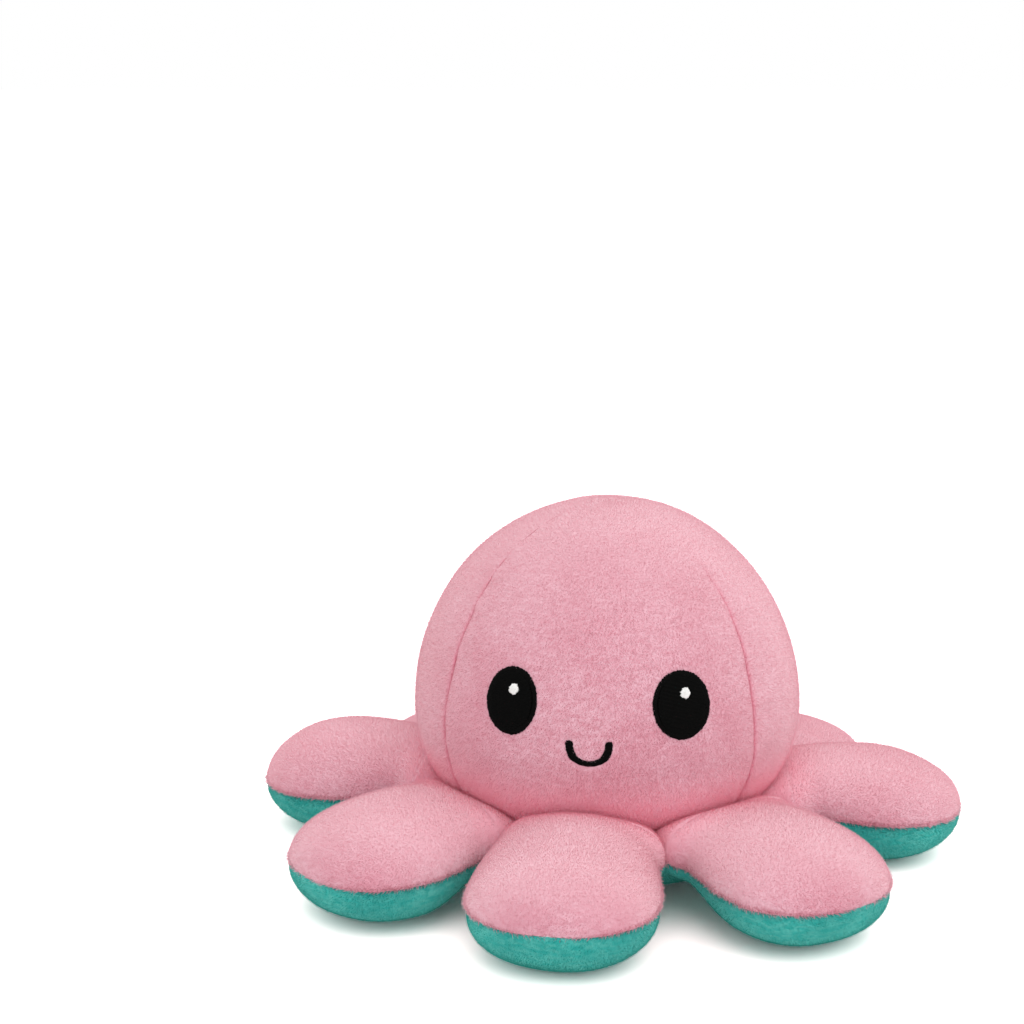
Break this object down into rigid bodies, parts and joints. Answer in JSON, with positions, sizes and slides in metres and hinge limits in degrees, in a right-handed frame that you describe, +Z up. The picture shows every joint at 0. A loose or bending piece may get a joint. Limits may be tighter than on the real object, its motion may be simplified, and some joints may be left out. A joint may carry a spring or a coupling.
{
  "type": "plush octopus",
  "caption": "Reversible plush octopus standing pink side out, with stuffed arms that flex at the root and a teal second head folded into a pocket below.",
  "frame": {"origin": "on the table under the head, at the middle of the outline of the arms", "axes": "+Z up through the crown, -Y towards the smiling face, +X to the right of someone who looks at the face"},
  "size_m": [0.2023, 0.1971, 0.104],
  "materials": {
    "pink_plush": "short velboa plush",
    "teal_plush": "short velboa plush",
    "black_thread": "satin-stitch embroidery",
    "white_thread": "satin-stitch embroidery",
    "stuffing": "polyester fibre fill"
  },
  "bodies": {
    "root": {"head_front_panel": "pink_plush", "head_right_panel": "pink_plush", "head_back_panel": "pink_plush", "head_left_panel": "pink_plush", "pocket_front_panel": "teal_plush", "pocket_right_panel": "teal_plush", "pocket_back_panel": "teal_plush", "pocket_left_panel": "teal_plush", "head_stuffing": "stuffing", "ring_top_cover": "pink_plush", "ring_bottom_cover": "teal_plush", "eye_left": "black_thread", "eye_right": "black_thread", "smile": "black_thread", "eye_glint_left": "white_thread", "eye_glint_right": "white_thread", "pocket_eye_left": "black_thread", "pocket_eye_right": "black_thread", "pocket_frown": "black_thread", "pocket_eye_glint_left": "white_thread", "pocket_eye_glint_right": "white_thread"},
    "tentacle_1": {"tentacle_1_top_cover": "pink_plush", "tentacle_1_bottom_cover": "teal_plush", "tentacle_1_stuffing": "stuffing"},
    "tentacle_2": {"tentacle_2_top_cover": "pink_plush", "tentacle_2_bottom_cover": "teal_plush", "tentacle_2_stuffing": "stuffing"},
    "tentacle_3": {"tentacle_3_top_cover": "pink_plush", "tentacle_3_bottom_cover": "teal_plush", "tentacle_3_stuffing": "stuffing"},
    "tentacle_4": {"tentacle_4_top_cover": "pink_plush", "tentacle_4_bottom_cover": "teal_plush", "tentacle_4_stuffing": "stuffing"},
    "tentacle_5": {"tentacle_5_top_cover": "pink_plush", "tentacle_5_bottom_cover": "teal_plush", "tentacle_5_stuffing": "stuffing"},
    "tentacle_6": {"tentacle_6_top_cover": "pink_plush", "tentacle_6_bottom_cover": "teal_plush", "tentacle_6_stuffing": "stuffing"},
    "tentacle_7": {"tentacle_7_top_cover": "pink_plush", "tentacle_7_bottom_cover": "teal_plush", "tentacle_7_stuffing": "stuffing"},
    "tentacle_8": {"tentacle_8_top_cover": "pink_plush", "tentacle_8_bottom_cover": "teal_plush", "tentacle_8_stuffing": "stuffing"}
  },
  "joints": [
    {"name": "tentacle_1_flex", "type": "hinge", "parent": "root", "child": "tentacle_1", "pos_m": [-0.00445, -0.05081, 0.0269], "axis": [-0.9962, 0.0872, 0], "range_deg": [-10, 45], "stiffness_Nm_per_rad": 0.03},
    {"name": "tentacle_2_flex", "type": "hinge", "parent": "root", "child": "tentacle_2", "pos_m": [0.03543, -0.03669, 0.0269], "axis": [-0.7193, -0.6947, 0], "range_deg": [-10, 45], "stiffness_Nm_per_rad": 0.03},
    {"name": "tentacle_3_flex", "type": "hinge", "parent": "root", "child": "tentacle_3", "pos_m": [0.0505, 0.0071, 0.0269], "axis": [0.1392, -0.9903, 0], "range_deg": [-10, 45], "stiffness_Nm_per_rad": 0.03},
    {"name": "tentacle_4_flex", "type": "hinge", "parent": "root", "child": "tentacle_4", "pos_m": [0.03429, 0.03775, 0.0269], "axis": [0.7402, -0.6724, 0], "range_deg": [-10, 45], "stiffness_Nm_per_rad": 0.03},
    {"name": "tentacle_5_flex", "type": "hinge", "parent": "root", "child": "tentacle_5", "pos_m": [0.00222, 0.05095, 0.0269], "axis": [0.999, -0.0436, 0], "range_deg": [-10, 45], "stiffness_Nm_per_rad": 0.03},
    {"name": "tentacle_6_flex", "type": "hinge", "parent": "root", "child": "tentacle_6", "pos_m": [-0.03087, 0.0406, 0.0269], "axis": [0.796, 0.6053, 0], "range_deg": [-10, 45], "stiffness_Nm_per_rad": 0.03},
    {"name": "tentacle_7_flex", "type": "hinge", "parent": "root", "child": "tentacle_7", "pos_m": [-0.04969, 0.01147, 0.0269], "axis": [0.225, 0.9744, 0], "range_deg": [-10, 45], "stiffness_Nm_per_rad": 0.03},
    {"name": "tentacle_8_flex", "type": "hinge", "parent": "root", "child": "tentacle_8", "pos_m": [-0.03878, -0.03312, 0.0269], "axis": [-0.6494, 0.7604, 0], "range_deg": [-10, 45], "stiffness_Nm_per_rad": 0.03}
  ]
}
